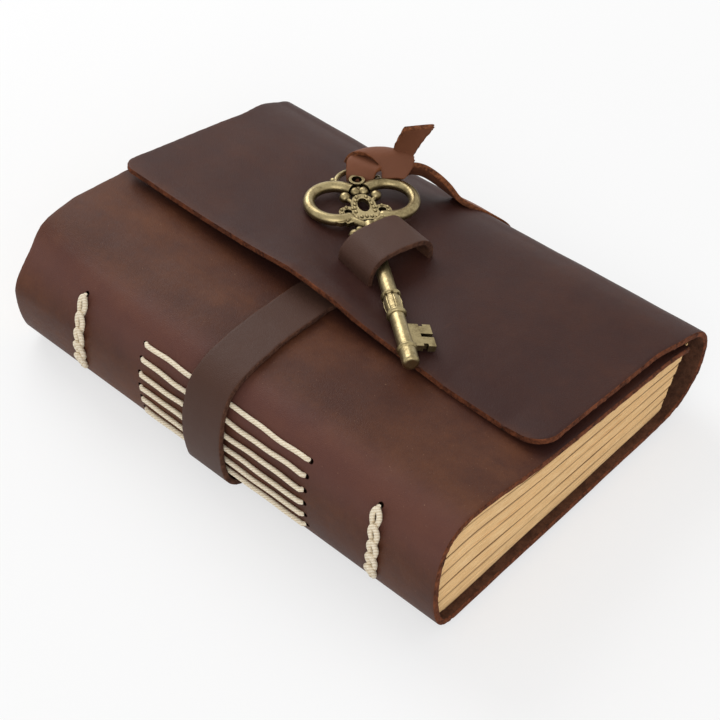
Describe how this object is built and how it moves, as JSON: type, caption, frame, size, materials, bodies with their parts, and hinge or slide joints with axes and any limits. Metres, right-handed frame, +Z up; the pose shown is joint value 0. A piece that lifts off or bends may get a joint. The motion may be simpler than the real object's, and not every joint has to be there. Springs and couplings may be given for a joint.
{
  "type": "wrap journal",
  "caption": "Leather wrap journal with a sewn page block, held shut by a strap that is woven through the flap and pinned with a skeleton key on a lace.",
  "frame": {"origin": "middle of the closed book's outline, on the surface that it lies on", "axes": "+X from the spine to the fore-edge fold, +Y from the tail to the head, +Z up through the flap"},
  "size_m": [0.1356, 0.178, 0.0618],
  "materials": {
    "cover_leather": "oiled, worn",
    "pages": "matte, stands in for kraft paper",
    "thread": "waxed linen",
    "strap_leather": "oiled, raw edges",
    "key_brass": "antiqued",
    "lace_leather": "soft, raw edges"
  },
  "bodies": {
    "journal": {"cover": "cover_leather", "page_block": "pages", "sewing_thread": "thread", "strap": "strap_leather"},
    "key": {"key": "key_brass", "lace": "lace_leather"}
  },
  "joints": [
    {"name": "key_slide", "type": "slide", "parent": "journal", "child": "key", "axis": [0.5997, 0.7986, -0.0509], "range_m": [0, 0.062], "deforming": ["lace"]}
  ]
}
